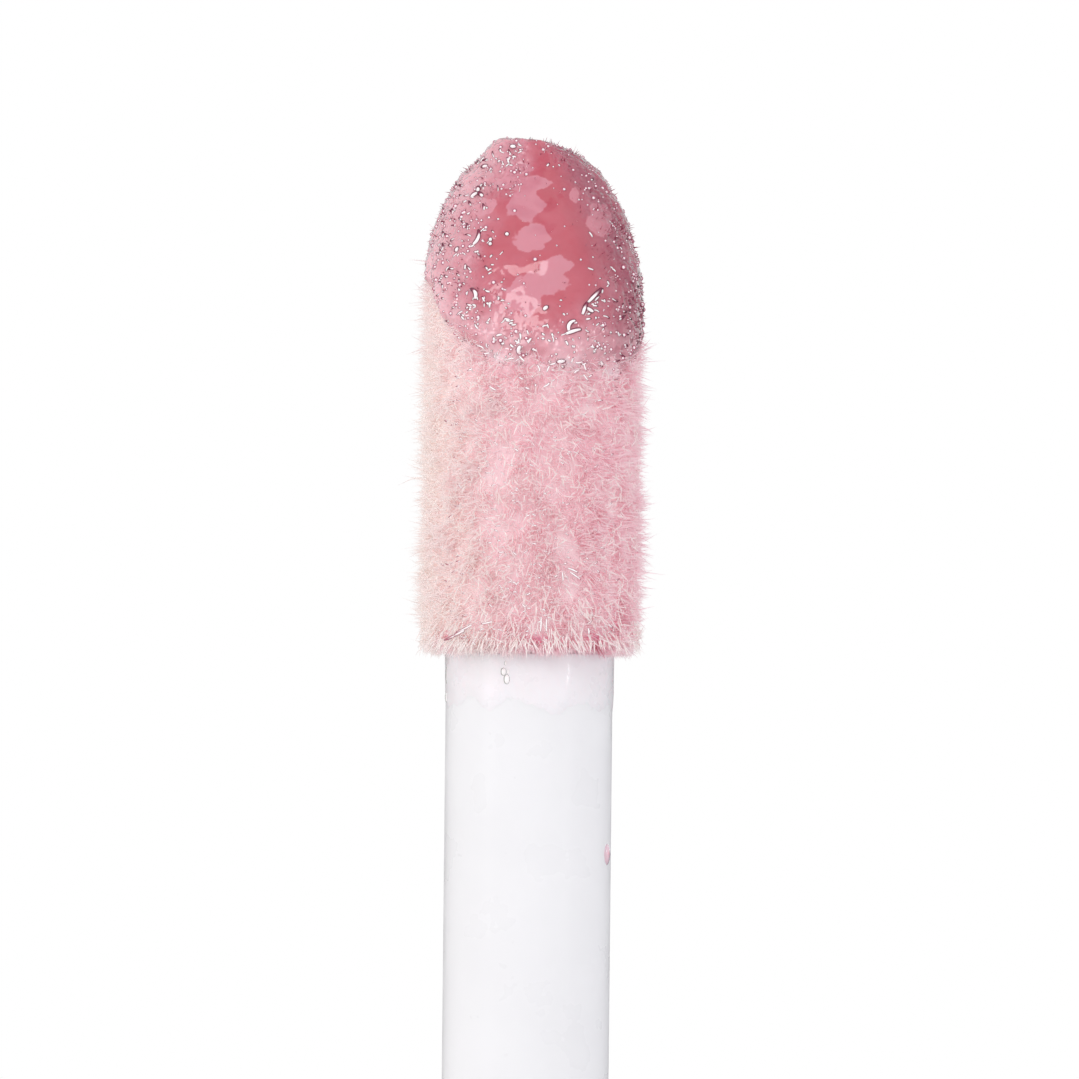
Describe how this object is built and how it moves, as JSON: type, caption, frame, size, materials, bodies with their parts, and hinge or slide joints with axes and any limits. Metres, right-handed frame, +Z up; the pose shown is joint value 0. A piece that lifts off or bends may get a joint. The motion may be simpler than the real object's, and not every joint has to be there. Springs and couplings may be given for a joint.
{
  "type": "lip gloss tube",
  "caption": "Clear round lip gloss bottle with a press-in wiper and metal-look collar, and a screw cap carrying a white stem with a flocked slanted applicator wet with gloss.",
  "frame": {"origin": "centre of the face the bottle stands on", "axes": "+Z up the tube's axis from the bottle's base to the cap's crown; the applicator's slanted face looks towards -Y, turned a little towards -X"},
  "size_m": [0.018, 0.018, 0.1865],
  "materials": {
    "clear_plastic": "clear moulded copolyester, polished",
    "lip_gloss": "sheer pink gel, wet",
    "label_film": "blank satin sticker",
    "metallised_collar": "polished metallised plastic, rose",
    "wiper_plastic": "soft natural polyethylene",
    "washer_foam": "expanded polyethylene, matt",
    "cap_plastic": "white, gloss moulded",
    "liner_plastic": "natural polypropylene, satin",
    "stem_plastic": "white, slightly see-through, gloss moulded",
    "core_plastic": "soft elastomer",
    "flock_fibre": "short nylon flock, stained pink by gloss",
    "gloss_film": "wet sheer pink film"
  },
  "bodies": {
    "bottle": {"bottle": "clear_plastic", "gloss_fill": "lip_gloss", "base_label": "label_film", "collar": "metallised_collar", "wiper": "wiper_plastic"},
    "washer": {"seal_washer": "washer_foam"},
    "wand": {"cap_shell": "cap_plastic", "cap_liner": "liner_plastic", "stem": "stem_plastic", "applicator_core": "core_plastic", "flock": "flock_fibre", "gloss_coat": "gloss_film"}
  },
  "joints": [
    {"name": "wand_pull", "type": "slide", "parent": "bottle", "child": "washer", "axis": [0, 0, 1], "range_m": [-0.08, 0], "deforming": ["flock", "gloss_coat", "gloss_fill"]},
    {"name": "cap_turn", "type": "hinge", "parent": "washer", "child": "wand", "pos_m": [0, 0, 0.1563], "axis": [0, 0, 1], "range_deg": [-720, 0]}
  ]
}
